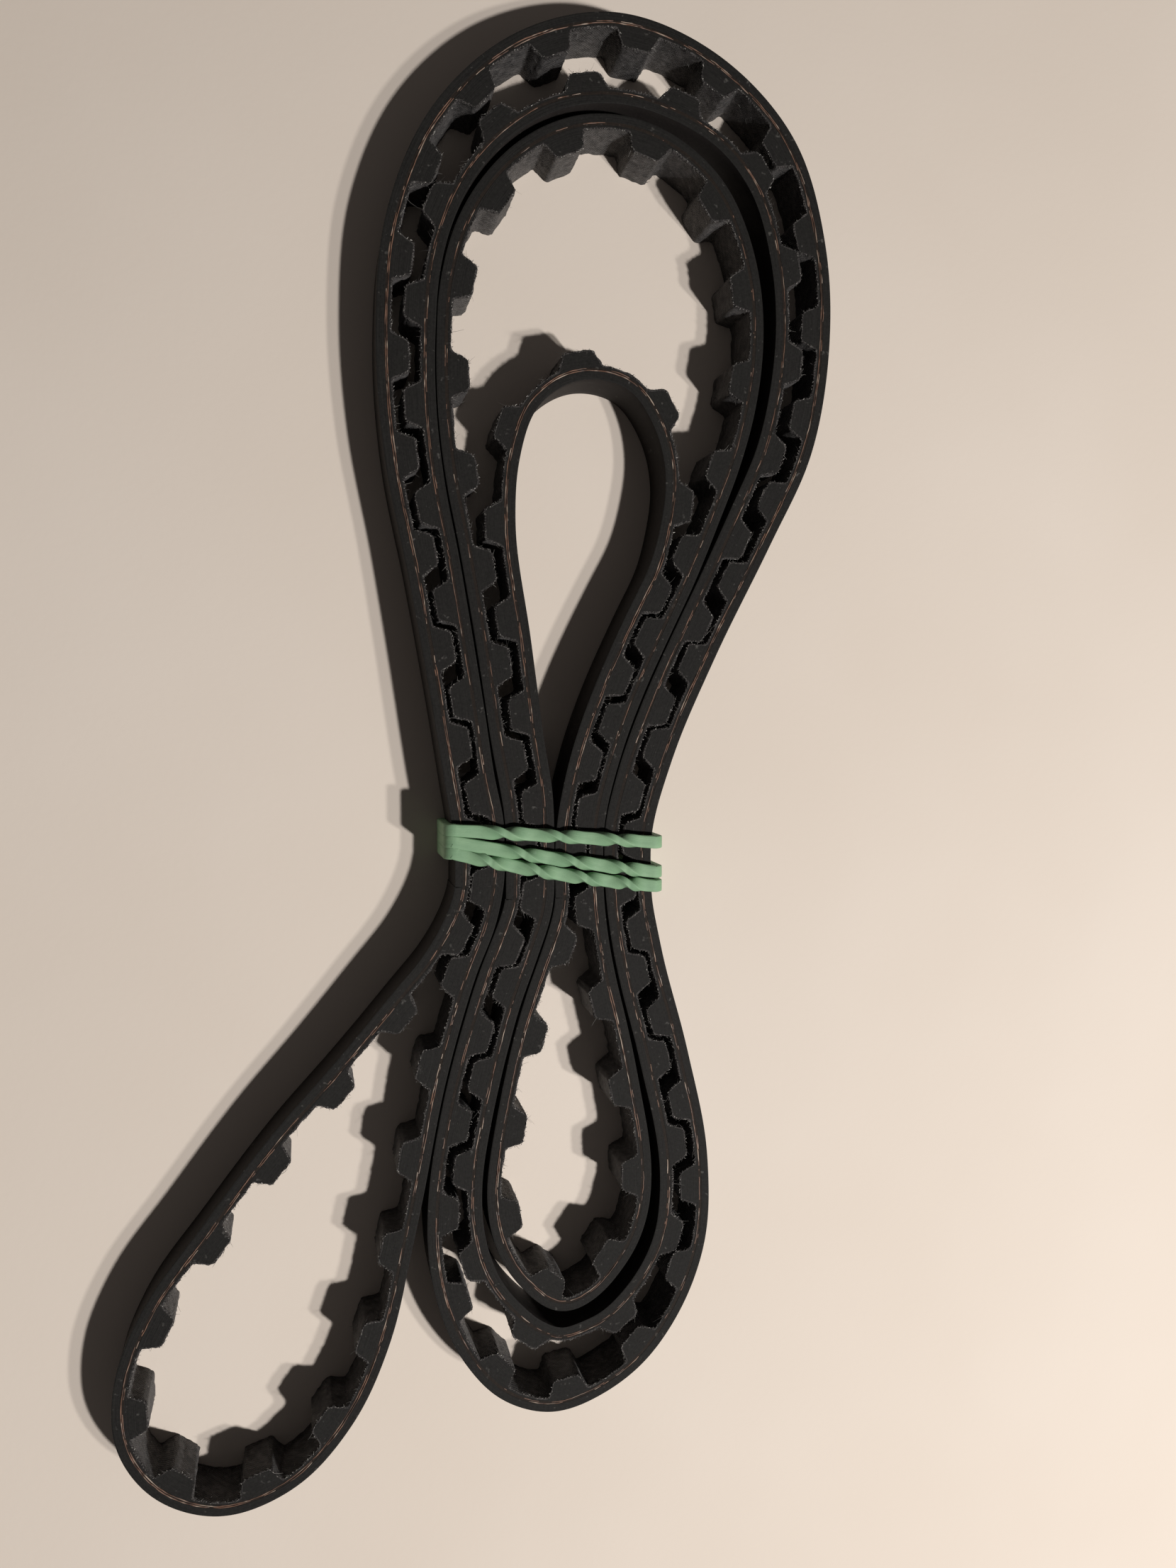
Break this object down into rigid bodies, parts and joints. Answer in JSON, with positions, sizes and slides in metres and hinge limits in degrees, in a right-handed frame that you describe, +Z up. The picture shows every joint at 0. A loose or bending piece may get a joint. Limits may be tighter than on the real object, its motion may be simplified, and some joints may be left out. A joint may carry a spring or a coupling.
{
  "type": "timing belt",
  "caption": "Endless toothed timing belt folded into a long bundle of turns and tied at the waist with a thin rubber band wound round it.",
  "frame": {"origin": "middle of the tied waist, on the plane the bundle rests on", "axes": "+Y along the bundle towards the large upper lobes, +X across the bundle, +Z up across the belt's width"},
  "size_m": [0.0982, 0.1987, 0.0095],
  "materials": {
    "backing_rubber": "matte black rubber, ground smooth back, cut edge with fine lengthwise saw marks",
    "tensile_cord": "copper brown cord filaments shown at the cut edge",
    "tooth_rubber": "matte black rubber",
    "tooth_facing": "fuzzy dark grey woven fabric",
    "band_rubber": "matte pale green rubber"
  },
  "bodies": {
    "upper_turns": {"backing_upper_outer": "backing_rubber", "cords_upper_outer": "tensile_cord", "teeth_upper_outer": "tooth_rubber", "facing_upper_outer": "tooth_facing", "backing_upper_second": "backing_rubber", "cords_upper_second": "tensile_cord", "teeth_upper_second": "tooth_rubber", "facing_upper_second": "tooth_facing", "backing_upper_third": "backing_rubber", "cords_upper_third": "tensile_cord", "teeth_upper_third": "tooth_rubber", "facing_upper_third": "tooth_facing", "backing_upper_inner": "backing_rubber", "cords_upper_inner": "tensile_cord", "teeth_upper_inner": "tooth_rubber", "facing_upper_inner": "tooth_facing"},
    "lower_turns": {"backing_lower_outer": "backing_rubber", "cords_lower_outer": "tensile_cord", "teeth_lower_outer": "tooth_rubber", "facing_lower_outer": "tooth_facing", "backing_lower_middle": "backing_rubber", "cords_lower_middle": "tensile_cord", "teeth_lower_middle": "tooth_rubber", "facing_lower_middle": "tooth_facing", "backing_lower_inner": "backing_rubber", "cords_lower_inner": "tensile_cord", "teeth_lower_inner": "tooth_rubber", "facing_lower_inner": "tooth_facing"},
    "side_turn": {"backing_lower_side": "backing_rubber", "cords_lower_side": "tensile_cord", "teeth_lower_side": "tooth_rubber", "facing_lower_side": "tooth_facing"},
    "rubber_band": {"rubber_band": "band_rubber"}
  },
  "joints": [
    {"name": "lower_swing", "type": "hinge", "parent": "upper_turns", "child": "lower_turns", "pos_m": [0.01405, -0.00654, 0.00475], "axis": [0, 0, 1], "range_deg": [0, 10], "stiffness_Nm_per_rad": 0.05},
    {"name": "side_swing", "type": "hinge", "parent": "upper_turns", "child": "side_turn", "pos_m": [-0.01405, -0.00654, 0.00475], "axis": [0, 0, 1], "range_deg": [-12, 0], "stiffness_Nm_per_rad": 0.05},
    {"name": "band_slide", "type": "slide", "parent": "upper_turns", "child": "rubber_band", "axis": [0, 1, 0], "range_m": [-0.001, 0]}
  ]
}
